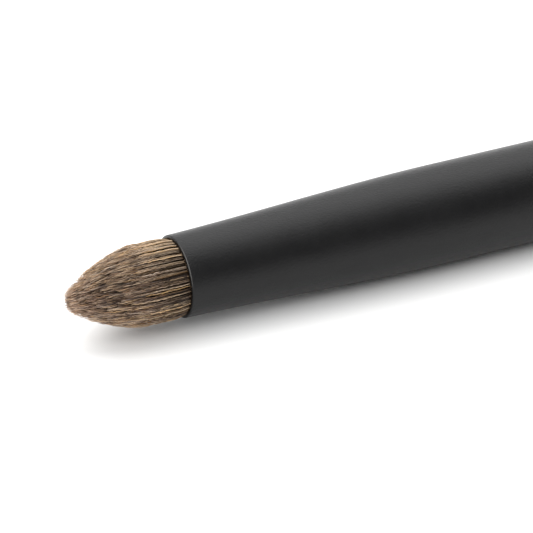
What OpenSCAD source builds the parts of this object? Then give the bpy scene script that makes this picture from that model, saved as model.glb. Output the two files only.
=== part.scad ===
// Eyeshadow brush lying on its side, in millimetres.
// The brush runs along X: hair tip toward -X, handle's tail toward +X, +Z up.
// The origin is the middle of the brush's length, on the surface that it lies on.
// Inside the modules, z is the distance behind the ferrule's mouth, so hair outside has a negative z.

/* [Ferrule] */
// Outer radius of the ferrule at its mouth
mouth_r = 4.25; // [3.6:0.05:4.8]
// Outer radius of the straight body, shared by the ferrule's back end and the handle
body_r = 5.16; // [4.9:0.02:6.5]
// Distance from the mouth over which the ferrule flares to the body's radius
flare_len = 30; // [24:1:34]
// Length of the ferrule
ferrule_len = 44; // [40:1:56]
// Thickness of the ferrule's metal
wall = 0.35; // [0.3:0.05:0.6]
// Radius of the rounded outer edge of the lip
lip_round_r = 0.17; // [0.08:0.01:0.19]
// Radius of the rounded inner edge of the lip
lip_inner_r = 0.08; // [0.04:0.01:0.1]

/* [Handle] */
// Distance from the mouth to the end of the straight grip
grip_end = 88; // [74:1:100]
// Distance from the mouth to the flat face of the tail
tail_end = 143; // [124:1:170]
// Radius of the handle where the tail's edge rounding starts
tail_r = 2.9; // [2:0.1:4]
// Radius of the tail's edge rounding
tail_round_r = 0.9; // [0.4:0.1:1.2]
// Length of the tenon inside the ferrule
tenon_len = 20; // [12:1:24]
// Chamfer on the tenon's front edge
tenon_chamfer = 0.5; // [0.2:0.1:0.8]
// Chamfer on each side of the seam between ferrule and handle
seam_chamfer = 0.12; // [0.04:0.02:0.2]

/* [Hair] */
// Length of hair outside the mouth
tuft_len = 12.1; // [9:0.1:16]
// Greatest radius of the tuft, just outside the mouth
tuft_r = 4.07; // [3.6:0.01:4.6]
// Distance outside the mouth over which the tuft keeps its greatest radius
tuft_straight = 4; // [1:0.5:5]
// Rings of strands in the tuft, 3 * rings * (rings + 1) strands in all
strand_rings = 11; // [10:1:12]
// Thickness of the backing slice
slice_t = 0.8; // [0.4:0.1:1.5]

/* [Inside] */
// Length of the packed hair behind the backing slice
root_len = 11.2; // [9.6:0.1:12]
// Distance from the mouth to the front edge of the binding thread
thread_at = 8; // [6.6:0.1:8.2]
// Width of the wound binding thread
thread_w = 1.4; // [0.8:0.1:1.6]
// Thickness of the wound binding thread
thread_t = 0.3; // [0.2:0.05:0.4]
// Resin behind the butt ends of the hair
resin_back = 2; // [1:0.5:4]
// Thickness of the glue between tenon and ferrule, at the tenon's front edge
glue_t = 0.25; // [0.15:0.05:0.4]

/* [Hidden] */

// Clearance left between pieces that are bonded or packed together
bond_gap = 0.03;
// Flare's slope at the mouth, radius gained per length
mouth_slope_share = 0.015;
// Points along the flare, the taper and the rounded edges
flare_steps = 4;
taper_steps = 8;
round_steps = 3;
$fn = 96;
// Turns about the axis that bring the seam lines of the round faces to the top, and half a facet past it,
// so that the meshes lie on flats, not on edges
ferrule_turn = 182.5;
handle_turn = 181.9;

overall_len = tuft_len + tail_end;
tenon_at = ferrule_len - tenon_len;
tenon_r = bore_r(tenon_at) - glue_t;
slice_back = lip_inner_r + slice_t;
root_end = slice_back + root_len;
tie_r = bore_r(thread_at) - thread_t - 2 * bond_gap;
resin_at = thread_at + thread_w + 2 * bond_gap;
resin_end = root_end + resin_back;

// Strands
strand_seed = 11;
// Width of a strand as a share of its cell in the backing, just outside the mouth
strand_width_share = 0.72;
// The same at the strand's second ring of points
strand_mid_share = 0.5;
// How far along a strand the second ring of points lies
strand_mid_at_share = 0.55;
// Exponents of the dome's outline, of the distance along it and of the whole
dome_round = 1.5;
dome_power = 0.75;
// Share of the dome's narrowing that the strands follow, the rest comes from their ends
follow_share = 0.6;
// Scatter of the strands' ends, as a share of the dome's length
end_scatter_share = 0.035;
// Scatter of the points of the backing, as a share of a cell
cell_scatter_share = 0.12;
// Where the tuft reaches its greatest radius, as a share of its straight length
bulge_at_share = 0.22;

module lie_down() translate([tuft_len - overall_len / 2, 0, body_r]) rotate([0, 90, 0]) children();

// Smooth step between two radii, with the given slope at the start and none at the end
function blend_r(r0, r1, len, slope, z) = let (t = min(max(z / len, 0), 1))
    r0 * (2 * t ^ 3 - 3 * t ^ 2 + 1) + slope * len * (t ^ 3 - 2 * t ^ 2 + t) + r1 * (3 * t ^ 2 - 2 * t ^ 3);

function outer_r(z) = blend_r(mouth_r, body_r, flare_len, mouth_slope_share, z);
function bore_r(z) = outer_r(z) - wall;
function flare_z(i) = flare_len * i / flare_steps;

// Radius at z of the bore's straight facets, which lie just inside the curve
function facet_r(z) = z >= flare_len ? bore_r(flare_len) :
    let (i = floor(z / flare_len * flare_steps), part = z / flare_len * flare_steps - i)
    bore_r(flare_z(i)) * (1 - part) + bore_r(flare_z(i + 1)) * part;

// Outline from z0 to z1 of what fills the bore
function fit_points(z0, z1) = [
    [facet_r(z0) - bond_gap, z0],
    for (i = [0:flare_steps]) let (z = flare_z(i)) if (z > z0 && z < z1) [bore_r(z) - bond_gap, z],
    [facet_r(z1) - bond_gap, z1]
];

// Arc from angle a0 to a1 about a centre
function arc(centre, r, a0, a1) = [
    for (i = [0:round_steps]) let (a = a0 + (a1 - a0) * i / round_steps) centre + r * [cos(a), sin(a)]
];

module ferrule() color([0.13, 0.13, 0.135]) lie_down() rotate([0, 0, ferrule_turn]) rotate_extrude() polygon([
    each arc([bore_r(0) + lip_inner_r, lip_inner_r], lip_inner_r, 180, 270),
    each arc([outer_r(0) - lip_round_r, lip_round_r], lip_round_r, 270, 360),
    for (i = [1:flare_steps]) [outer_r(flare_z(i)), flare_z(i)],
    [body_r, ferrule_len - seam_chamfer],
    [body_r - seam_chamfer, ferrule_len],
    [body_r - wall, ferrule_len],
    for (i = [flare_steps:-1:1]) [bore_r(flare_z(i)), flare_z(i)]
]);

module handle() color([0.12, 0.12, 0.125]) lie_down() rotate([0, 0, handle_turn]) rotate_extrude() polygon([
    [0, tenon_at],
    [tenon_r - tenon_chamfer, tenon_at],
    [tenon_r, tenon_at + tenon_chamfer],
    [tenon_r, ferrule_len],
    [body_r - seam_chamfer, ferrule_len],
    [body_r, ferrule_len + seam_chamfer],
    for (i = [0:taper_steps]) let (z = (tail_end - tail_round_r - grip_end) * i / taper_steps)
        [taper_r(z), grip_end + z],
    each arc([tail_r - tail_round_r, tail_end - tail_round_r], tail_round_r, 0, 90),
    [0, tail_end]
]);

// Radius of the handle at z behind the grip
function taper_r(z) = blend_r(body_r, tail_r, tail_end - tail_round_r - grip_end, 0, z);

module hair_root() color([0.32, 0.26, 0.18]) lie_down() rotate_extrude() polygon([
    [0, slice_back],
    each fit_points(slice_back, (slice_back + thread_at) / 2),
    [tie_r, thread_at - bond_gap],
    [tie_r, root_end],
    [0, root_end]
]);

module binding_thread() color([0.75, 0.72, 0.65]) lie_down() rotate_extrude() polygon([
    [tie_r + bond_gap, thread_at],
    [tie_r + bond_gap, thread_at + thread_w],
    [tie_r + bond_gap + thread_t, thread_at + thread_w],
    [tie_r + bond_gap + thread_t, thread_at]
]);

module resin_plug() color([0.78, 0.66, 0.4]) lie_down() rotate_extrude() polygon([
    [0, root_end + bond_gap],
    [tie_r + bond_gap, root_end + bond_gap],
    [tie_r + bond_gap, resin_at],
    each fit_points(resin_at, resin_end),
    [0, resin_end]
]);

module tenon_glue() color([0.85, 0.8, 0.65]) lie_down() rotate_extrude() polygon([
    [tenon_r + bond_gap, tenon_at + tenon_chamfer],
    each fit_points(tenon_at + tenon_chamfer, ferrule_len - bond_gap),
    [tenon_r + bond_gap, ferrule_len - bond_gap]
]);

// The tuft is one closed surface. Its backing slice is a disc of rings, ring k with 6k points, and
// every triangle whose base lies on the outer of two rings grows into a three-sided strand.
slice_r = bore_r(0) - bond_gap;
cell = slice_r / strand_rings;
strands = 3 * strand_rings * (strand_rings + 1);
lattice_points = strands + 1;
scatter = rands(-1, 1, 2 * lattice_points, strand_seed);
// The first strand, beside the axis, reaches the tuft's full length
end_scatter = [-1, each rands(-1, 1, strands - 1, strand_seed + 1)];

function ring_start(k) = k == 0 ? 0 : 3 * k * (k - 1) + 1;
function ring_index(k, j) = k == 0 ? 0 : ring_start(k) + (j + 6 * k) % (6 * k);
function lattice_xy(k, j) = let (
    n = ring_index(k, j),
    a = k == 0 ? 0 : 60 * j / k,
    share = k == strand_rings ? 0 : cell_scatter_share
) cell * (k * [cos(a), sin(a)] + share * [scatter[2 * n], scatter[2 * n + 1]]);

// Lattice numbers of the three corners of the strand's cell with its base on ring k
function cell_corners(k, side, step) = [
    ring_index(k, side * k + step),
    ring_index(k, side * k + step + 1),
    ring_index(k - 1, side * (k - 1) + step)
];

lattice = [for (k = [0:strand_rings]) for (j = [0:max(6 * k - 1, 0)]) lattice_xy(k, j)];
cells = [for (k = [1:strand_rings]) for (side = [0:5]) for (step = [0:k - 1]) cell_corners(k, side, step)];

// The triangles left between the strands, with their bases on ring k - 1
between = [
    for (k = [2:strand_rings]) for (side = [0:5]) for (step = [1:k - 1]) let (at = side * (k - 1) + step)
        [ring_index(k, side * k + step), ring_index(k - 1, at), ring_index(k - 1, at - 1)]
];
rim = [for (j = [0:6 * strand_rings - 1]) ring_index(strand_rings, j)];

// How much wider than the slice the tuft is at a distance outside the mouth
bulge = tuft_r / slice_r;
function dome(u) = max(1 - u ^ dome_round, 0) ^ dome_power;
function spread(out) = bulge * dome(max(out - tuft_straight, 0) / (tuft_len - tuft_straight)) ^ follow_share;

// Distance outside the mouth at which strand n ends, from its place as a share of the slice's radius
function end_of(share, n) = let (
    left = min(share, 1) ^ (1 / (dome_power * (1 - follow_share))),
    u = (1 - left) ^ (1 / dome_round)
) tuft_straight + (tuft_len - tuft_straight) * u * (1 - end_scatter_share * (1 + end_scatter[n]));

function middle_of(c) = (lattice[c[0]] + lattice[c[1]] + lattice[c[2]]) / 3;
function strand_ring(c, width_share, out) = [
    for (i = c) let (p = (middle_of(c) + (lattice[i] - middle_of(c)) * width_share) * spread(out))
        [p.x, p.y, -out]
];

function strand_points(n) = let (
    c = cells[n],
    tip = end_of(norm(middle_of(c)) / slice_r, n),
    low = tuft_straight * bulge_at_share,
    at_tip = middle_of(c) * spread(tip)
) [
    each strand_ring(c, strand_width_share, low),
    each strand_ring(c, strand_mid_share, low + (tip - low) * strand_mid_at_share),
    [at_tip.x, at_tip.y, -tip]
];

// The six triangles between two rings of a strand
function band(a, b) = [
    for (i = [0:2]) let (j = (i + 1) % 3) each [[a[i], a[j], b[j]], [a[i], b[j], b[i]]]
];

module hair_tuft() {
    front = [for (p = lattice) [p.x, p.y, lip_inner_r]];
    back = [for (n = rim) [lattice[n].x, lattice[n].y, slice_back]];
    first_back = lattice_points;
    first_strand = first_back + len(back) + 1;
    strand_faces = [
        for (n = [0:strands - 1]) let (
            s = first_strand + 7 * n,
            low = [s, s + 1, s + 2],
            mid = [s + 3, s + 4, s + 5]
        ) each [
            each band(cells[n], low),
            each band(low, mid),
            for (i = [0:2]) [mid[i], mid[(i + 1) % 3], s + 6]
        ]
    ];
    edge_faces = [
        for (j = [0:len(rim) - 1]) let (next = (j + 1) % len(rim), a = first_back + j, b = first_back + next)
            each [[rim[j], a, b], [rim[j], b, rim[next]], [a, first_back + len(rim), b]]
    ];
    color([0.6, 0.47, 0.33]) lie_down() polyhedron(
        points = [each front, each back, [0, 0, slice_back], for (n = [0:strands - 1]) each strand_points(n)],
        faces = [each between, each strand_faces, each edge_faces]
    );
}

handle();
ferrule();
hair_tuft();
hair_root();
binding_thread();
resin_plug();
tenon_glue();
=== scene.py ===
# Eyeshadow brush lying on a white sweep: its looks, the studio light and the camera.
import math

import bmesh
import bpy
import numpy as np
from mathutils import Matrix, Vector


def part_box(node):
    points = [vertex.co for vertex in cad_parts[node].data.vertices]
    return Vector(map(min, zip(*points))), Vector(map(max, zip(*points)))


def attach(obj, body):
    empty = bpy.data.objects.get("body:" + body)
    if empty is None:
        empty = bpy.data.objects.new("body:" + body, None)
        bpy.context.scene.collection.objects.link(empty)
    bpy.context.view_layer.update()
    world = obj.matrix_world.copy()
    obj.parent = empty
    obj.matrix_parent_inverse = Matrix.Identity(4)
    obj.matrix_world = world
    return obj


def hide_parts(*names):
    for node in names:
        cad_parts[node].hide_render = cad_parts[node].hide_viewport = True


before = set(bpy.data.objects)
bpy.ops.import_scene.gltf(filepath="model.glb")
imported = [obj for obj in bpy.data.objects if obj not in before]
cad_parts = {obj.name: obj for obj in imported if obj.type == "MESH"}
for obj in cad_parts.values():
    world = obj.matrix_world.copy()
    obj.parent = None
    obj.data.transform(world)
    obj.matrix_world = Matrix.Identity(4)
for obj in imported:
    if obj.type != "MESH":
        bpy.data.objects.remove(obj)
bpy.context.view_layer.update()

mm = 0.001


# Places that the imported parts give
ferruleLow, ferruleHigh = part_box("ferrule")
handleLow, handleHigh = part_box("handle")
tuftLow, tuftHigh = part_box("hair_tuft")
mouthX = ferruleLow[0]
seamX = ferruleHigh[0]
tailX = handleHigh[0]
axisZ = (handleLow[2] + handleHigh[2]) / 2
bodyRadius = (handleHigh[2] - handleLow[2]) / 2
tuftLength = mouthX - tuftLow[0]
tuftBackX = tuftHigh[0]
print("frame read: mouth", round(mouthX, 5), "seam", round(seamX, 5), "tail", round(tailX, 5))


# Outlines are lists of (distance along X, radius), turned about the brush's axis

def arc(middle, radius, startDeg, endDeg, steps=6):
    points = []
    for i in range(steps + 1):
        turn = math.radians(startDeg + (endDeg - startDeg) * i / steps)
        points.append((middle[0] + radius * math.cos(turn), middle[1] + radius * math.sin(turn)))
    return points


def easeRadius(startRadius, endRadius, startRise, share):
    # Cubic from one radius to the other, level at its end
    s = min(max(share, 0), 1)
    return (startRadius * (2 * s**3 - 3 * s**2 + 1) + startRise * (s**3 - 2 * s**2 + s)
            + endRadius * (3 * s**2 - 2 * s**3))


def lathe(name, outline, closed, steps=192):
    made = bmesh.new()
    corners = [made.verts.new((x, 0, axisZ + r)) for x, r in outline]
    pairs = list(zip(corners, corners[1:]))
    if closed:
        pairs.append((corners[-1], corners[0]))
    edges = [made.edges.new(pair) for pair in pairs]
    bmesh.ops.spin(made, geom=corners + edges, cent=(0, 0, axisZ), axis=(1, 0, 0),
                   angle=2 * math.pi, steps=steps, use_merge=True, use_duplicate=False)
    bmesh.ops.remove_doubles(made, verts=made.verts, dist=mm / 2000)
    bmesh.ops.recalc_face_normals(made, faces=made.faces)
    for face in made.faces:
        face.smooth = True
    mesh = bpy.data.meshes.new(name)
    made.to_mesh(mesh)
    made.free()
    return placeMesh(name, mesh)


def placeMesh(name, mesh):
    piece = bpy.data.objects.new(name, mesh)
    bpy.context.collection.objects.link(piece)
    return piece


def dress(piece, material, slotName, *nodes):
    piece.data.materials.clear()
    piece.data.materials.append(material)
    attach(piece, "root")
    if nodes:
        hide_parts(*nodes)


# Shader helpers

def newMaterial(name):
    material = bpy.data.materials.new(name)
    material.use_nodes = True
    return material, material.node_tree, material.node_tree.nodes["Principled BSDF"]


def addNode(tree, kind, **settings):
    node = tree.nodes.new(kind)
    for key, value in settings.items():
        if key in node.inputs:
            node.inputs[key].default_value = value
        else:
            setattr(node, key, value)
    return node


def objectPlace(tree):
    return tree.nodes.new("ShaderNodeTexCoord").outputs["Object"]


def noiseOn(tree, vector, size, detail):
    noise = addNode(tree, "ShaderNodeTexNoise", Scale=1 / size, Detail=detail)
    tree.links.new(vector, noise.inputs["Vector"])
    return noise.outputs["Fac"]


def squeezed(tree, vector, alongX):
    # A pattern drawn out along the brush
    node = addNode(tree, "ShaderNodeMapping")
    node.inputs["Scale"].default_value = (alongX, 1, 1)
    tree.links.new(vector, node.inputs["Vector"])
    return node.outputs["Vector"]


def mathNode(tree, operation, first, second):
    node = tree.nodes.new("ShaderNodeMath")
    node.operation = operation
    for socket, value in zip(node.inputs, (first, second)):
        if isinstance(value, (int, float)):
            socket.default_value = value
        else:
            tree.links.new(value, socket)
    return node.outputs[0]


def ramp(tree, source, stops):
    node = tree.nodes.new("ShaderNodeValToRGB")
    elements = node.color_ramp.elements
    while len(elements) < len(stops):
        elements.new(0.5)
    for element, (place, colour) in zip(elements, stops):
        element.position = place
        element.color = (*colour, 1)
    tree.links.new(source, node.inputs[0])
    return node.outputs["Color"]


def remap(tree, source, low, high, toLow, toHigh):
    node = tree.nodes.new("ShaderNodeMapRange")
    for key, value in zip(("From Min", "From Max", "To Min", "To Max"), (low, high, toLow, toHigh)):
        node.inputs[key].default_value = value
    tree.links.new(source, node.inputs["Value"])
    return node.outputs["Result"]


def mixColour(tree, factor, first, second):
    # From a colour that varies to one that is the same all over
    node = tree.nodes.new("ShaderNodeMix")
    node.data_type = "RGBA"
    node.inputs["B"].default_value = (*second, 1)
    tree.links.new(factor, node.inputs["Factor"])
    tree.links.new(first, node.inputs["A"])
    return node.outputs["Result"]


def bump(tree, shader, height, strength, distance):
    node = addNode(tree, "ShaderNodeBump", Strength=strength, Distance=distance)
    tree.links.new(height, node.inputs["Height"])
    tree.links.new(node.outputs["Normal"], shader.inputs["Normal"])


# Sprayed or lacquered coat: the fine grain of the spray over soft mottling

def makeCoatGroup():
    group = bpy.data.node_groups.new("coatGrain", "ShaderNodeTree")
    face = group.interface
    face.new_socket("Vector", in_out="INPUT", socket_type="NodeSocketVector")
    for label, size in (("Grain Size", 0.1 * mm), ("Mottle Size", 3 * mm)):
        face.new_socket(label, in_out="INPUT", socket_type="NodeSocketFloat").default_value = size
    for label in ("Grain", "Mottle"):
        face.new_socket(label, in_out="OUTPUT", socket_type="NodeSocketFloat")
    start = group.nodes.new("NodeGroupInput")
    end = group.nodes.new("NodeGroupOutput")
    for label, detail in (("Grain", 3), ("Mottle", 4)):
        noise = addNode(group, "ShaderNodeTexNoise", Detail=detail, Roughness=0.6)
        scale = mathNode(group, "DIVIDE", 1.0, start.outputs[label + " Size"])
        group.links.new(start.outputs["Vector"], noise.inputs["Vector"])
        group.links.new(scale, noise.inputs["Scale"])
        group.links.new(noise.outputs["Fac"], end.inputs[label])
    return group


coatGroup = makeCoatGroup()


def placeCoat(tree, vector, look):
    node = tree.nodes.new("ShaderNodeGroup")
    node.node_tree = coatGroup
    node.inputs["Grain Size"].default_value = look["grainSize"]
    node.inputs["Mottle Size"].default_value = look["mottleSize"]
    tree.links.new(vector, node.inputs["Vector"])
    grain, mottle = node.outputs["Grain"], node.outputs["Mottle"]
    colour = ramp(tree, mottle, ((0.35, look["coatDark"]), (0.65, look["coatLight"])))
    rough = remap(tree, mottle, 0.3, 0.7, *look["roughness"])
    return grain, mottle, colour, rough


# Ferrule: drawn sleeve, sprayed matte black, with a painted highlight along a part of its lip

ferrule = {
    "mouthRadius": 4.25 * mm,
    "mouthRise": 0.45 * mm,
    "flareLength": 30 * mm,
    "flareSteps": 40,
    "wall": 0.35 * mm,
    "lipRound": 0.17 * mm,
    "lipInnerRound": 0.08 * mm,
    "seamRound": 0.12 * mm,
    "grainSize": 0.17 * mm,
    "grainHeight": 0.08 * mm,
    "grainStrength": 0.7,
    "mottleSize": 2.6 * mm,
    "coatDark": (0.0038, 0.0038, 0.0041),
    "coatLight": (0.0056, 0.0056, 0.0059),
    "roughness": (0.28, 0.31),
    "ior": 1.335,
    # Colour of the painted highlight on the lip
    "lipHighlightColour": (0.085, 0.081, 0.077),
    "rimRough": 0.24,
    "rimFrom": 0.02 * mm,  # behind the mouth
    "rimFadeIn": 0.02 * mm,
    "rimTo": 0.10 * mm,
    "rimFadeOut": 0.03 * mm,
    "rimWaver": 0.02 * mm,
    "rimUp": 0.72,  # the side where the painted highlight shows, up and toward -Y
    "rimFront": 0.69,
    "rimArc": (0.65, 0.79),
}


def makeFerrule():
    s = ferrule

    def outerRadius(share):
        return easeRadius(s["mouthRadius"], bodyRadius, s["mouthRise"], share)

    flare = [(mouthX + s["flareLength"] * i / s["flareSteps"], outerRadius(i / s["flareSteps"]))
             for i in range(1, s["flareSteps"] + 1)]
    innerCorner = (mouthX + s["lipInnerRound"], s["mouthRadius"] - s["wall"] + s["lipInnerRound"])
    outerCorner = (mouthX + s["lipRound"], s["mouthRadius"] - s["lipRound"])
    seamCorner = (seamX - s["seamRound"], bodyRadius - s["seamRound"])
    outline = [
        *arc(innerCorner, s["lipInnerRound"], 270, 180, 4),
        *arc(outerCorner, s["lipRound"], 180, 90),
        *flare,
        *arc(seamCorner, s["seamRound"], 90, 0, 4),
        (seamX, bodyRadius - s["wall"]),
        *[(x, r - s["wall"]) for x, r in reversed(flare)],
    ]
    return lathe("ferruleSleeve", outline, True)


def paintedLipHighlight(tree, vector, mottle):
    # Mask of the painted highlight: a fine line on the lip's round edge, where it faces one side
    s = ferrule
    split = tree.nodes.new("ShaderNodeSeparateXYZ")
    tree.links.new(vector, split.inputs[0])
    waver = remap(tree, mottle, 0.3, 0.7, -s["rimWaver"], s["rimWaver"])
    place = mathNode(tree, "ADD", split.outputs["X"], waver)
    lineStart, lineEnd = mouthX + s["rimFrom"], mouthX + s["rimTo"]
    starts = remap(tree, place, lineStart, lineStart + s["rimFadeIn"], 0, 1)
    ends = remap(tree, place, lineEnd, lineEnd + s["rimFadeOut"], 1, 0)
    height = mathNode(tree, "SUBTRACT", split.outputs["Z"], axisZ)
    facing = mathNode(tree, "SUBTRACT", mathNode(tree, "MULTIPLY", height, s["rimUp"]),
                      mathNode(tree, "MULTIPLY", split.outputs["Y"], s["rimFront"]))
    side = remap(tree, facing, s["rimArc"][0] * bodyRadius, s["rimArc"][1] * bodyRadius, 0, 1)
    return mathNode(tree, "MULTIPLY", mathNode(tree, "MULTIPLY", starts, ends), side)


def makeFerruleFinish():
    s = ferrule
    material, tree, shader = newMaterial("mattBlackFerrule")
    where = objectPlace(tree)
    grain, mottle, colour, rough = placeCoat(tree, where, s)
    # Painted highlight on the lip's round edge: lighter colour and lower roughness along one arc
    lipHighlight = paintedLipHighlight(tree, where, mottle)
    tree.links.new(mixColour(tree, lipHighlight, colour, s["lipHighlightColour"]), shader.inputs["Base Color"])
    polish = tree.nodes.new("ShaderNodeMix")
    polish.inputs["B"].default_value = s["rimRough"]
    tree.links.new(lipHighlight, polish.inputs["Factor"])
    tree.links.new(rough, polish.inputs["A"])
    tree.links.new(polish.outputs["Result"], shader.inputs["Roughness"])
    shader.inputs["IOR"].default_value = s["ior"]
    bump(tree, shader, grain, s["grainStrength"], s["grainHeight"])
    return material


# Handle: turned wood under matte black lacquer, its pores just showing through

handle = {
    "gripEnd": 88 * mm,  # behind the mouth
    "tailRadius": 2.9 * mm,
    "tailRound": 0.9 * mm,
    "taperSteps": 48,
    "tenonLength": 20 * mm,
    "tenonRadius": 4.48 * mm,
    "tenonChamfer": 0.5 * mm,
    "seamRound": 0.12 * mm,
    "grainSize": 0.17 * mm,
    "grainHeight": 0.08 * mm,
    "grainStrength": 0.7,
    "mottleSize": 3.4 * mm,
    "poreSize": 0.25 * mm,
    "poreSqueeze": 0.04,
    "poreShare": 0.4,
    "coatDark": (0.0038, 0.0038, 0.0040),
    "coatLight": (0.0056, 0.0055, 0.0056),
    "roughness": (0.28, 0.31),
    "ior": 1.335,
}


def makeHandle():
    s = handle
    taperStart = mouthX + s["gripEnd"]
    taperLength = tailX - s["tailRound"] - taperStart
    taper = [(taperStart + taperLength * i / s["taperSteps"],
              easeRadius(bodyRadius, s["tailRadius"], 0, i / s["taperSteps"]))
             for i in range(s["taperSteps"])]
    tenonX = seamX - s["tenonLength"]
    seamCorner = (seamX + s["seamRound"], bodyRadius - s["seamRound"])
    tailCorner = (tailX - s["tailRound"], s["tailRadius"] - s["tailRound"])
    outline = [
        (tenonX, 0),
        (tenonX, s["tenonRadius"] - s["tenonChamfer"]),
        (tenonX + s["tenonChamfer"], s["tenonRadius"]),
        (seamX, s["tenonRadius"]),
        *arc(seamCorner, s["seamRound"], 180, 90, 4),
        *taper,
        *arc(tailCorner, s["tailRound"], 90, 0, 10),
        (tailX, 0),
    ]
    return lathe("handleStick", outline, False)


def makeHandleFinish():
    s = handle
    material, tree, shader = newMaterial("mattBlackLacquer")
    where = objectPlace(tree)
    grain, mottle, colour, rough = placeCoat(tree, where, s)
    tree.links.new(colour, shader.inputs["Base Color"])
    tree.links.new(rough, shader.inputs["Roughness"])
    shader.inputs["IOR"].default_value = s["ior"]
    pores = noiseOn(tree, squeezed(tree, where, s["poreSqueeze"]), s["poreSize"], 3)
    height = mathNode(tree, "ADD", grain, mathNode(tree, "MULTIPLY", pores, s["poreShare"]))
    bump(tree, shader, height, s["grainStrength"], s["grainHeight"])
    return material


# Hair: thousands of fine hairs in small wisps, the wisps in looser locks

hair = {
    # How many, how thick, and the tuft's outline
    "locks": 620,
    "wisps": 3100,
    "hairsPerWisp": 4,
    "radius": 0.034 * mm,
    "rootDepth": 0.84 * mm,
    "rootRadius": 3.86 * mm,
    "tuftRadius": 4.16 * mm,
    "straight": 4.0 * mm,
    "bulgeBy": 0.9 * mm,
    "domeRound": 1.50,
    "domePower": 0.79,
    "follow": 0.34,
    # How they gather, in shares of the spacing, then at the root and further out
    "lockJitter": 0.15,
    "wispJitter": 0.34,
    "wispWidth": 0.75,
    "lockClump": (0.50, 0.20),
    "lockClumpLength": 8 * mm,
    "wispClump": (0.60, 0.45),
    "sunken": 0.022,
    # How they bend and cross
    "lockSway": 0.09 * mm,
    "wispSway": 0.05 * mm,
    "kink": 0.035 * mm,
    "kinkDepth": 0.3 * mm,
    "kinkGrowth": 3 * mm,
    "crossing": 0.30,
    "crossSway": 0.20 * mm,
    # How uneven their ends and the outline are
    "wispShorter": 0.50 * mm,
    "hairShorter": 0.45 * mm,
    "longerShare": 0.3,  # of wispShorter, added to every hair
    "shortestShare": 0.7,  # of straight
    "tipGap": 0.36 * mm,
    "tipBlunt": 0.14 * mm,
    "tipRagged": 0.30 * mm,
    "edgeRagged": 0.12 * mm,
    "stray": 0.13,
    "strayReach": 0.70 * mm,
    "strayLeast": 0.1,
    "strayLonger": 0.5,
    "liftLeast": 0.15,
    # Painted light: tone by the side that a hair lies on, paler on the upper side and darker in the middle
    # and lower side, and how much it varies at random
    "litSide": (0.54, 0.84),
    "litFrom": 0.5 * mm,  # from the axis
    "toneMiddle": 0.50,
    "paintedLightAround": ((-1.0, 0.02), (-0.5, -0.11), (-0.1, -0.14), (0.15, -0.09),
                   (0.4, 0.09), (0.7, 0.25), (1.0, 0.40)),
    "toneSpread": {"lock": 0.10, "wisp": 0.20, "hair": 0.23},
    "warmthSpread": {"wisp": 0.11, "hair": 0.11},
    # Paler from this share of a hair's length on, and paler still in the tuft's tip
    "paleFrom": 0.65,
    "endPale": 0.40,
    "tipPale": 0.45,
    "tipStart": 8.0 * mm,
    "tipLength": 3.6 * mm,
    "seed": 161,
    # A hair's points along it, closer together toward its end
    "steps": (0.0, 0.16, 0.31, 0.43, 0.52, 0.60, 0.67, 0.735, 0.80, 0.86, 0.915, 0.96, 1.0),
    # Natural hair is thickest past its middle and runs out to a fine point
    "belly": ((0.0, 0.95), (0.3, 1.0), (0.6, 1.25), (0.8, 1.3), (0.92, 1.0), (1.0, 0.3)),
    # Finish
    "dark": (0.026, 0.013, 0.007),
    "grey": (0.140, 0.089, 0.052),
    "brown": (0.365, 0.247, 0.150),
    "gold": (0.800, 0.590, 0.380),
    "tip": (0.710, 0.465, 0.360),
    "shade": (0.014, 0.007, 0.004),
    "toneStops": (0.16, 0.40, 0.60, 0.88),
    "paleLift": 0.30,
    "tipBlend": 0.5,
    "lipShadeFrom": 0.16 * mm,  # outside the mouth
    "lipShadeTo": 0.03 * mm,
    "lipShade": 0.9,
    "deepFrom": 0.008,  # below the outline, in shares of rootRadius
    "deepTo": 0.105,
    "deepShade": 0.92,
    "roughness": (0.42, 0.32),
    "ior": 1.38,
}
# Layers from the tuft's heart to its surface, by share of the root's radius
hairLayers = {
    "hairHeart": (0.0, 0.46),
    "hairInner": (0.46, 0.65),
    "hairMiddle": (0.65, 0.79),
    "hairOuter": (0.79, 0.90),
    "hairSurface": (0.90, 2.0),
}


def domeShare(out):
    s = hair
    u = np.clip((out - s["straight"]) / (tuftLength - s["straight"]), 0, 1)
    return (1 - u ** s["domeRound"]) ** s["domePower"]


def spreadAt(out):
    # How much wider than at the root the hair stands, at a distance outside the mouth
    s = hair
    bulge = s["tuftRadius"] / s["rootRadius"]
    opening = 1 + (bulge - 1) * np.clip((out + s["rootDepth"]) / (s["bulgeBy"] + s["rootDepth"]), 0, 1)
    return opening * domeShare(out) ** s["follow"]


def endAt(share):
    # How far out a hair ends, by its share of the root's radius
    s = hair
    left = np.clip(share, 0, 1) ** (1 / (s["domePower"] * (1 - s["follow"])))
    return s["straight"] + (tuftLength - s["straight"]) * (1 - left) ** (1 / s["domeRound"])


def sunflower(dice, count, radius, jitter):
    # Evenly strewn places in a disc
    spacing = radius * math.sqrt(math.pi / count)
    order = np.arange(count)
    turn = order * math.pi * (3 - math.sqrt(5))
    reach = (radius - spacing * 0.3) * np.sqrt((order + 0.5) / count)
    places = np.stack([reach * np.cos(turn), reach * np.sin(turn)], 1)
    return places + dice.normal(0, spacing * jitter, places.shape), spacing


def toneHairs(dice, side, lock, wisp):
    s = hair
    spread = s["toneSpread"]
    # Painted light and shade: hairs on the upper side get a paler tone, those in the middle and lower side
    # a darker one
    paintedLight = np.interp(side, *zip(*s["paintedLightAround"]))
    tone = s["toneMiddle"] + paintedLight + dice.normal(0, spread["hair"], len(wisp))
    tone += dice.normal(0, spread["lock"], s["locks"])[lock]
    tone += dice.normal(0, spread["wisp"], s["wisps"])[wisp]
    return tone


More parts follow.
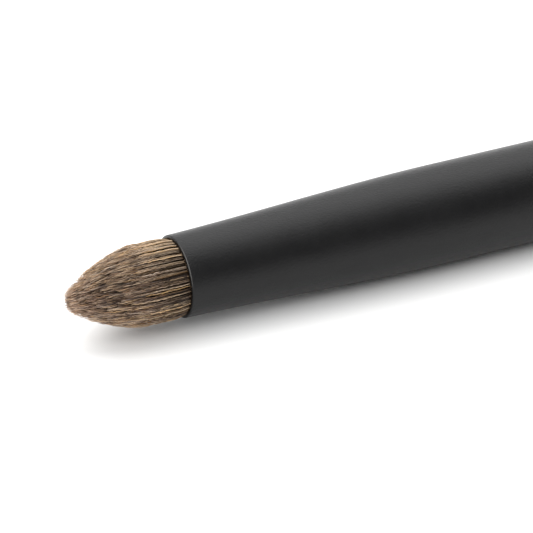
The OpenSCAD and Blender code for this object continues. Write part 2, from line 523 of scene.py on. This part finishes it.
def layOutHair():
    s = hair
    dice = np.random.default_rng(s["seed"])
    locks = sunflower(dice, s["locks"], s["rootRadius"], s["lockJitter"])[0]
    wisps, wispSpacing = sunflower(dice, s["wisps"], s["rootRadius"], s["wispJitter"])
    lockOf = np.argmin(np.linalg.norm(wisps[:, None] - locks[None], axis=2), axis=1)
    wisp = np.repeat(np.arange(s["wisps"]), s["hairsPerWisp"])
    lock = lockOf[wisp]
    count = len(wisp)

    around = dice.uniform(0, 2 * math.pi, count)
    away = wispSpacing * s["wispWidth"] * np.sqrt(dice.uniform(0, 1, count))
    base = wisps[wisp] + np.stack([away * np.cos(around), away * np.sin(around)], 1)
    far = np.linalg.norm(base, axis=1)
    base *= np.minimum(1, (s["rootRadius"] - s["radius"]) / far)[:, None]
    share = np.linalg.norm(base, axis=1) / s["rootRadius"]
    side = (base[:, 0] * s["litSide"][0] + base[:, 1] * s["litSide"][1]) / np.maximum(far, s["litFrom"])
    tone = toneHairs(dice, side, lock, wisp)

    lockSway = dice.normal(0, s["lockSway"], (s["locks"], 2))[lock]
    wispSway = dice.normal(0, s["wispSway"], (s["wisps"], 2))[wisp]
    sunken = 1 - np.abs(dice.normal(0, s["sunken"], s["wisps"]))[wisp]
    kink = dice.normal(0, s["kink"], (count, len(s["steps"]), 2))
    crossing = dice.uniform(0, 1, count) < s["crossing"]
    crossSway = dice.normal(0, s["crossSway"], (count, 2)) * crossing[:, None]
    stray = dice.uniform(0, 1, count) < s["stray"]
    reach = stray * s["strayReach"] * dice.uniform(s["strayLeast"], 1, count)
    shorter = (np.abs(dice.normal(0, s["wispShorter"], s["wisps"]))[wisp]
               + np.abs(dice.normal(0, s["hairShorter"], count)) - s["wispShorter"] * s["longerShare"])
    end = np.maximum(endAt(share) - shorter * ~stray, s["straight"] * s["shortestShare"])
    furthest = tuftLength - s["tipGap"] - np.abs(dice.normal(0, s["tipRagged"], count))
    end = np.minimum(end, furthest) + reach * s["strayLonger"]

    # The first point of every hair is inside the ferrule, the last at its end
    along = np.array(s["steps"])
    out = -s["rootDepth"] + (end + s["rootDepth"])[:, None] * along
    grown = np.clip(out / s["lockClumpLength"], 0, 1)[..., None]
    toLock = s["lockClump"][0] + (s["lockClump"][1] - s["lockClump"][0]) * grown
    toWisp = s["wispClump"][0] + (s["wispClump"][1] - s["wispClump"][0]) * (along**2)[None, :, None]
    wispPlace = wisps[wisp][:, None] * (1 - toLock) + locks[lock][:, None] * toLock
    spots = wispPlace + (base - wisps[wisp])[:, None] * (1 - toWisp)
    spots *= (spreadAt(out) * sunken[:, None])[..., None]
    bend = np.clip(out / tuftLength, 0, 1)[..., None]
    spots += lockSway[:, None] * bend**1.5 + wispSway[:, None] * bend**2 + crossSway[:, None] * bend
    spots += kink * np.clip((out + s["kinkDepth"]) / s["kinkGrowth"], 0, 1)[..., None]

    # Stray hairs stand off near their ends, the others stay inside the tuft's outline or just at it
    size = np.maximum(np.linalg.norm(spots, axis=2), 1e-9)
    most = np.maximum(s["rootRadius"] * spreadAt(out) * domeShare(out) ** (1 - s["follow"]), s["tipBlunt"])
    ragged = np.abs(dice.normal(0, s["edgeRagged"], count))[:, None] * bend[..., 0] ** 2
    inside = np.minimum(size, most + ragged)
    lift = reach[:, None] * dice.uniform(s["liftLeast"], 1, count)[:, None] * bend[..., 0] ** 3
    spots *= ((inside + lift) / size)[..., None]
    places = np.stack([mouthX - out, spots[..., 0], axisZ + spots[..., 1]], -1)

    # Some hairs are golden, others ashen
    spread = s["warmthSpread"]
    warmth = 1 + dice.normal(0, spread["wisp"], s["wisps"])[wisp] + dice.normal(0, spread["hair"], count)
    grownOut = np.clip((out - s["tipStart"]) / s["tipLength"], 0, 1)
    nearEnd = np.clip((along - s["paleFrom"]) / (1 - s["paleFrom"]), 0, 1)
    marks = {
        "tone": np.clip(tone, 0, 1)[:, None],
        "warmth": np.clip(warmth, 0.4, 1.6)[:, None],
        "depth": np.maximum(most - inside, 0) / s["rootRadius"],
        "pale": nearEnd * (s["endPale"] + s["tipPale"] * grownOut),
    }
    return places, marks, share


def drawSection(name):
    # The three-sided section that every hair of a curve gets
    section = bpy.data.curves.new(name, "CURVE")
    section.dimensions = "2D"
    ring = section.splines.new("POLY")
    ring.points.add(2)
    for i, point in enumerate(ring.points):
        point.co = (math.cos(2 * math.pi * i / 3), math.sin(2 * math.pi * i / 3), 0, 1)
    ring.use_cyclic_u = True
    return bpy.data.objects.new(name, section)


def sweepHairs(name, places, marks):
    # One curve with a spline for each hair, given its section and made a mesh
    count, points = places.shape[:2]
    section = drawSection(name + "Section")
    curve = bpy.data.curves.new(name, "CURVE")
    curve.dimensions = "3D"
    curve.bevel_mode = "OBJECT"
    curve.bevel_object = section
    thickness = hair["radius"] * np.interp(hair["steps"], *zip(*hair["belly"]))
    corners = np.concatenate([places, np.ones((count, points, 1))], -1).astype(np.float32)
    for i in range(count):
        spline = curve.splines.new("POLY")
        spline.points.add(points - 1)
        spline.points.foreach_set("co", corners[i].ravel())
        spline.points.foreach_set("radius", thickness)
    drawn = bpy.data.objects.new(name + "Drawn", curve)
    bpy.context.collection.objects.link(drawn)
    bpy.context.view_layer.update()
    mesh = bpy.data.meshes.new_from_object(drawn.evaluated_get(bpy.context.evaluated_depsgraph_get()))
    mesh.name = name
    for thing in (drawn, section):
        bpy.data.objects.remove(thing)

    # Each hair's two open ends are closed with a triangle
    made = bmesh.new()
    made.from_mesh(mesh)
    bmesh.ops.holes_fill(made, edges=[edge for edge in made.edges if edge.is_boundary], sides=3)
    bmesh.ops.recalc_face_normals(made, faces=made.faces)
    made.to_mesh(mesh)
    made.free()
    mesh.shade_smooth()

    number = np.arange(len(mesh.vertices))
    which, step = number // (3 * points), number % (3 * points) // 3
    for label, values in marks.items():
        each = np.broadcast_to(values, (count, points))[which, step].astype(np.float32)
        mesh.attributes.new(label, "FLOAT", "POINT").data.foreach_set("value", each)
    unrollHairs(mesh, count, points)
    print(name, "has", count, "hairs and", len(mesh.polygons), "faces")
    return placeMesh(name, mesh)


def unrollHairs(mesh, count, points):
    # Every hair gets its own cell of the map: three strips for its sides and a triangle at each end
    margin = 0.08
    inner = 0.84
    capAcross = np.array([0.1, 0.5, 0.9])
    capUp = np.array([0, 0.05, 0])
    rootCap = 0.01
    endCap = 0.94
    cells = math.ceil(math.sqrt(count))
    corner = np.empty(len(mesh.loops), np.int32)
    mesh.loops.foreach_get("vertex_index", corner)
    sizes = np.empty(len(mesh.polygons), np.int32)
    mesh.polygons.foreach_get("loop_total", sizes)
    face = np.repeat(np.arange(len(sizes)), sizes)
    which, step, side = corner // (3 * points), corner % (3 * points) // 3, corner % 3
    has = [np.bincount(face, side == k) > 0 for k in range(3)]
    strip = np.where(has[0] & has[1], 0, np.where(has[1], 1, 2))[face]
    u = (strip + margin + inner * (side != strip)) / 3
    v = margin + inner * np.array(hair["steps"])[step]
    cap = sizes[face] == 3
    u = np.where(cap, capAcross[side], u)
    v = np.where(cap, np.where(step > 0, endCap, rootCap) + capUp[side], v)
    places = np.stack([(which % cells + u) / cells, (which // cells + v) / cells], 1)
    mesh.uv_layers.new(name="OFBake").data.foreach_set("uv", places.ravel().astype(np.float32))


def makeHairFinish():
    s = hair
    material, tree, shader = newMaterial("naturalHair")
    tone, pale, warmth, depth = [addNode(tree, "ShaderNodeAttribute", attribute_name=label).outputs["Fac"]
                                 for label in ("tone", "pale", "warmth", "depth")]
    lifted = mathNode(tree, "ADD", tone, mathNode(tree, "MULTIPLY", pale, s["paleLift"]))
    colour = ramp(tree, lifted, list(zip(s["toneStops"], (s["dark"], s["grey"], s["brown"], s["gold"]))))
    colour = mixColour(tree, mathNode(tree, "MULTIPLY", pale, s["tipBlend"]), colour, s["tip"])
    ash = tree.nodes.new("ShaderNodeHueSaturation")
    tree.links.new(warmth, ash.inputs["Saturation"])
    tree.links.new(colour, ash.inputs["Color"])
    # Hairs below the surface and right at the lip are in shade
    split = tree.nodes.new("ShaderNodeSeparateXYZ")
    tree.links.new(objectPlace(tree), split.inputs[0])
    byLip = remap(tree, split.outputs["X"], mouthX - s["lipShadeFrom"], mouthX - s["lipShadeTo"],
                  0, s["lipShade"])
    below = remap(tree, depth, s["deepFrom"], s["deepTo"], 0, s["deepShade"])
    shaded = mixColour(tree, mathNode(tree, "MAXIMUM", byLip, below), ash.outputs["Color"], s["shade"])
    tree.links.new(shaded, shader.inputs["Base Color"])
    tree.links.new(remap(tree, tone, 0, 1, *s["roughness"]), shader.inputs["Roughness"])
    shader.inputs["IOR"].default_value = s["ior"]
    return material


# Backing: closes the mouth behind the hairs' first points

backing = {
    "faceDepth": 0.12 * mm,
    "edgeDepth": 0.2 * mm,
    "edgeRound": 0.1 * mm,
    "steps": 96,
}


def makeBacking():
    s = backing
    radius = hair["rootRadius"]
    outline = [
        (mouthX + s["faceDepth"], 0),
        (mouthX + s["faceDepth"], radius - s["edgeRound"]),
        (mouthX + s["edgeDepth"], radius),
        (tuftBackX, radius),
        (tuftBackX, 0),
    ]
    return lathe("tuftBacking", outline, False, s["steps"])


# The hidden pieces, each with its own finish

packedHair = {
    "strandWidth": 0.12 * mm,
    "strandSqueeze": 0.03,
    "roughness": (0.65, 0.45),
    "bump": (0.6, 0.05 * mm),
}
thread = {
    "bandScale": 1 / (6 * mm),
    "distortion": 0.4,
    "shaded": (0.30, 0.27, 0.20),
    "pale": (0.66, 0.62, 0.52),
    "roughness": (0.9, 0.7),
    "bump": (0.8, 0.06 * mm),
}
resin = {
    "cloudSize": 0.8 * mm,
    "deep": (0.30, 0.14, 0.03),
    "pale": (0.52, 0.30, 0.09),
    "roughness": (0.19, 0.33),
    "bump": (0.2, 0.05 * mm),
}
glue = {
    "cloudSize": 0.8 * mm,
    "deep": (0.55, 0.47, 0.30),
    "pale": (0.72, 0.65, 0.46),
    "roughness": (0.34, 0.48),
    "bump": (0.2, 0.05 * mm),
}


def makeRootFinish():
    s = packedHair
    material, tree, shader = newMaterial("packedHair")
    strands = noiseOn(tree, squeezed(tree, objectPlace(tree), s["strandSqueeze"]), s["strandWidth"], 3)
    colour = ramp(tree, strands, ((0.35, hair["dark"]), (0.62, hair["brown"])))
    tree.links.new(colour, shader.inputs["Base Color"])
    tree.links.new(remap(tree, strands, 0.3, 0.7, *s["roughness"]), shader.inputs["Roughness"])
    bump(tree, shader, strands, *s["bump"])
    return material


def makeThreadFinish():
    s = thread
    material, tree, shader = newMaterial("bindingThread")
    turns = addNode(tree, "ShaderNodeTexWave", Scale=s["bandScale"], Distortion=s["distortion"])
    tree.links.new(objectPlace(tree), turns.inputs["Vector"])
    colour = ramp(tree, turns.outputs["Fac"], ((0.1, s["shaded"]), (0.7, s["pale"])))
    tree.links.new(colour, shader.inputs["Base Color"])
    tree.links.new(remap(tree, turns.outputs["Fac"], 0, 1, *s["roughness"]), shader.inputs["Roughness"])
    bump(tree, shader, turns.outputs["Fac"], *s["bump"])
    return material


def makeGlueFinish(name, look):
    material, tree, shader = newMaterial(name)
    clouds = noiseOn(tree, objectPlace(tree), look["cloudSize"], 3)
    colour = ramp(tree, clouds, ((0.3, look["deep"]), (0.7, look["pale"])))
    tree.links.new(colour, shader.inputs["Base Color"])
    tree.links.new(remap(tree, clouds, 0.3, 0.7, *look["roughness"]), shader.inputs["Roughness"])
    bump(tree, shader, clouds, *look["bump"])
    return material


# Studio: white floor in a pale room, a large softbox overhead and panels behind, in front and at the left

studio = {
    "floorSide": 3.0,
    "floorColour": (0.94, 0.94, 0.935),
    "floorMottle": (1 / 14, 1.01),  # size of its clouds in metres, and how much paler they are
    "floorRough": 0.7,
    "floorSpecular": 0.2,
    "roomLight": 0.38,
    "aimBehindMouth": 20 * mm,
    "panels": {
        "overheadSoftbox": {"place": (0.06, 0.28, 0.64), "size": (1.3, 0.9), "power": 8.3},
        "backPanel": {"place": (0.10, 0.95, 0.22), "size": (1.6, 0.36), "power": 1.6},
        "frontPanel": {"place": (-0.35, -0.35, 0.60), "size": (0.6, 0.6), "power": 2.8},
        "leftPanel": {"place": (-0.75, -0.35, 0.50), "size": (0.6, 0.5), "power": 1.6},
    },
}
cameraRig = {
    "azimuthDeg": -25.75,
    "elevationDeg": 30.0,
    "distance": 0.3584,
    "lens": 243.4,
    "sensor": 36.0,
    "clip": (0.01, 20),
    "frameSide": 533,
    "mouthAtPixel": (175.1, 276.8),
}


def addPanel(name, panel, aim):
    light = bpy.data.lights.new(name, "AREA")
    light.shape = "RECTANGLE"
    light.size, light.size_y = panel["size"]
    light.energy = panel["power"]
    lamp = bpy.data.objects.new(name, light)
    bpy.context.collection.objects.link(lamp)
    lamp.location = panel["place"]
    lamp.rotation_euler = (Vector(aim) - Vector(panel["place"])).to_track_quat("-Z", "Y").to_euler()


def makeFloor():
    s = studio
    made = bmesh.new()
    bmesh.ops.create_grid(made, x_segments=8, y_segments=8, size=s["floorSide"] / 2)
    mesh = bpy.data.meshes.new("floor")
    made.to_mesh(mesh)
    made.free()
    material, tree, shader = newMaterial("whiteSweep")
    cloudSize, lift = s["floorMottle"]
    clouds = noiseOn(tree, objectPlace(tree), cloudSize, 2)
    pale = s["floorColour"]
    colour = ramp(tree, clouds, ((0.3, pale), (0.7, tuple(v * lift for v in pale))))
    tree.links.new(colour, shader.inputs["Base Color"])
    shader.inputs["Roughness"].default_value = s["floorRough"]
    shader.inputs["Specular IOR Level"].default_value = s["floorSpecular"]
    mesh.materials.append(material)
    placeMesh("floor", mesh)


def makeStudio():
    s = studio
    makeFloor()
    world = bpy.data.worlds.new("room")
    world.use_nodes = True
    back = world.node_tree.nodes["Background"]
    back.inputs["Color"].default_value = (1, 1, 1, 1)
    back.inputs["Strength"].default_value = s["roomLight"]
    bpy.context.scene.world = world
    for name, panel in s["panels"].items():
        addPanel(name, panel, (mouthX + s["aimBehindMouth"], 0, axisZ))
    bpy.context.scene.view_settings.view_transform = "Standard"


def makeCamera():
    c = cameraRig
    turn, rise = math.radians(c["azimuthDeg"]), math.radians(c["elevationDeg"])
    back = Vector((math.sin(turn) * math.cos(rise), -math.cos(turn) * math.cos(rise), math.sin(rise)))
    right = Vector((math.cos(turn), math.sin(turn), 0))
    up = back.cross(right)
    data = bpy.data.cameras.new("photoCamera")
    data.lens = c["lens"]
    data.sensor_width = c["sensor"]
    data.clip_start, data.clip_end = c["clip"]
    camera = bpy.data.objects.new("photoCamera", data)
    bpy.context.collection.objects.link(camera)
    # The mouth's centre falls on its pixel in the photograph
    perPixel = c["distance"] * c["sensor"] / c["lens"] / c["frameSide"]
    aside = (c["mouthAtPixel"][0] - c["frameSide"] / 2) * perPixel
    above = (c["frameSide"] / 2 - c["mouthAtPixel"][1]) * perPixel
    mouth = Vector((mouthX, 0, axisZ))
    camera.location = mouth - right * aside - up * above + back * c["distance"]
    camera.rotation_euler = back.to_track_quat("Z", "Y").to_euler()
    bpy.context.scene.camera = camera


makeCamera()
makeStudio()
print("camera and studio stand")

dress(makeFerrule(), makeFerruleFinish(), "ferrule_paint", "ferrule")
dress(makeHandle(), makeHandleFinish(), "handle_lacquer", "handle")
print("ferrule and handle turned")

hairFinish = makeHairFinish()
hairPlaces, hairMarks, hairShare = layOutHair()
for layerName, (low, high) in hairLayers.items():
    chosen = (hairShare >= low) & (hairShare < high)
    marks = {label: values[chosen] for label, values in hairMarks.items()}
    dress(sweepHairs(layerName, hairPlaces[chosen], marks), hairFinish, "hair", "hair_tuft")
rootFinish = makeRootFinish()
dress(makeBacking(), rootFinish, "hair", "hair_tuft")
print("hair combed")

hiddenFinishes = {
    "hair_root": rootFinish,
    "binding_thread": makeThreadFinish(),
    "resin_plug": makeGlueFinish("amberResin", resin),
    "tenon_glue": makeGlueFinish("creamGlue", glue),
}
for node, finish in hiddenFinishes.items():
    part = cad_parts[node]
    part.data.materials.clear()
    part.data.materials.append(finish)
print("hidden pieces finished")
